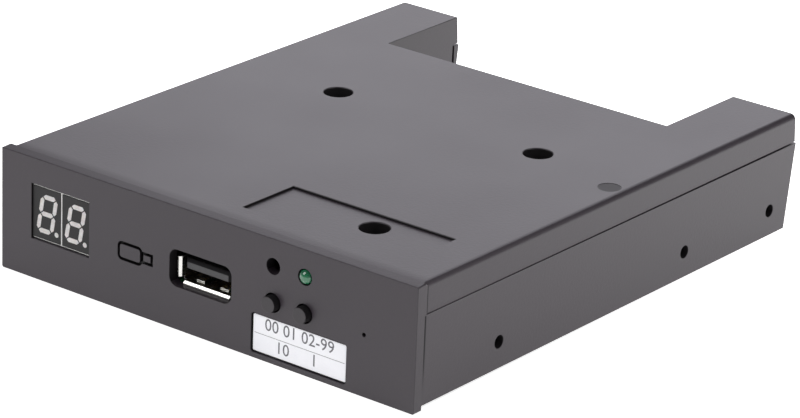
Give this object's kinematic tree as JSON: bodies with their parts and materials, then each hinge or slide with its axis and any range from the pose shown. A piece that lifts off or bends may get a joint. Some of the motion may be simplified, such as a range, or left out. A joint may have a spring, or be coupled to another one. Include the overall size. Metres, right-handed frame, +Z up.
{
  "type": "floppy drive emulator",
  "caption": "Flat dark drive-bay box with a digit display, USB socket, push buttons and status LED on its front bezel, screw holes in its sides and pin headers in a rear notch.",
  "frame": {"origin": "middle of the footprint, buttons included, at the height of the bezel's lower edge", "axes": "+X to the right seen from the front, +Y from the front face to the rear, +Z up"},
  "size_m": [0.1016, 0.1252, 0.025],
  "materials": {
    "charcoal_abs": "fine moulded matte texture, dark grey",
    "label_paper": "white self-adhesive paper",
    "zinc_screw_steel": "zinc-plated steel",
    "green_circuit_board": "green solder mask on glass-fibre laminate",
    "tinned_sheet": "bright tin-plated sheet",
    "black_nylon": "black glass-filled nylon",
    "gold_contact": "gold-flashed copper alloy",
    "white_reflector": "white moulded reflector",
    "dark_display_face": "dark printed face",
    "milky_segment": "milky diffusing epoxy",
    "tinned_lead": "tinned copper",
    "green_lens": "tinted green diffusing epoxy",
    "black_button": "smooth black plastic",
    "black_epoxy": "black moulded epoxy",
    "drawn_can": "drawn metal can",
    "tan_ceramic": "fired ceramic",
    "natural_nylon": "natural off-white nylon"
  },
  "bodies": {
    "case": {"bottom_tray": "charcoal_abs", "top_cover": "charcoal_abs", "front_bezel": "charcoal_abs", "front_label": "label_paper", "case_screws": "zinc_screw_steel", "main_board": "green_circuit_board", "usb_shell": "tinned_sheet", "usb_insulator": "black_nylon", "usb_contacts": "gold_contact", "tens_digit_housing": "white_reflector", "ones_digit_housing": "white_reflector", "tens_digit_face": "dark_display_face", "ones_digit_face": "dark_display_face", "tens_digit_segments": "milky_segment", "ones_digit_segments": "milky_segment", "digit_pins": "tinned_lead", "display_board": "green_circuit_board", "display_header": "black_nylon", "display_header_pins": "gold_contact", "display_driver_chip": "black_epoxy", "display_driver_leads": "tinned_lead", "status_led": "green_lens", "status_led_leads": "tinned_lead", "tens_switch_base": "black_nylon", "ones_switch_base": "black_nylon", "tens_switch_frame": "tinned_sheet", "ones_switch_frame": "tinned_sheet", "tens_switch_dome": "tinned_sheet", "ones_switch_dome": "tinned_sheet", "switch_legs": "tinned_lead", "controller_chip": "black_epoxy", "controller_leads": "tinned_lead", "crystal_can": "drawn_can", "regulator_chip": "black_epoxy", "regulator_leads": "tinned_lead", "capacitor_cans": "drawn_can", "capacitor_bases": "black_nylon", "buffer_chips": "black_epoxy", "buffer_leads": "tinned_lead", "chip_resistors": "black_epoxy", "ceramic_capacitors": "tan_ceramic", "drive_header_base": "black_nylon", "drive_header_pins": "gold_contact", "power_header_base": "natural_nylon", "power_header_pins": "tinned_lead", "jumper_header_base": "black_nylon", "jumper_header_pins": "gold_contact"},
    "tens_button": {"tens_button": "black_button"},
    "ones_button": {"ones_button": "black_button"},
    "jumper": {"jumper_cap": "black_nylon"}
  },
  "joints": [
    {"name": "tens_button_press", "type": "slide", "parent": "case", "child": "tens_button", "axis": [0, 1, 0], "range_m": [0, 0.00025], "stiffness_N_per_m": 800, "springref_m": -0.0015},
    {"name": "ones_button_press", "type": "slide", "parent": "case", "child": "ones_button", "axis": [0, 1, 0], "range_m": [0, 0.00025], "stiffness_N_per_m": 800, "springref_m": -0.0015},
    {"name": "jumper_pull", "type": "slide", "parent": "case", "child": "jumper", "axis": [0, 1, 0], "range_m": [0, 0.0065]}
  ]
}
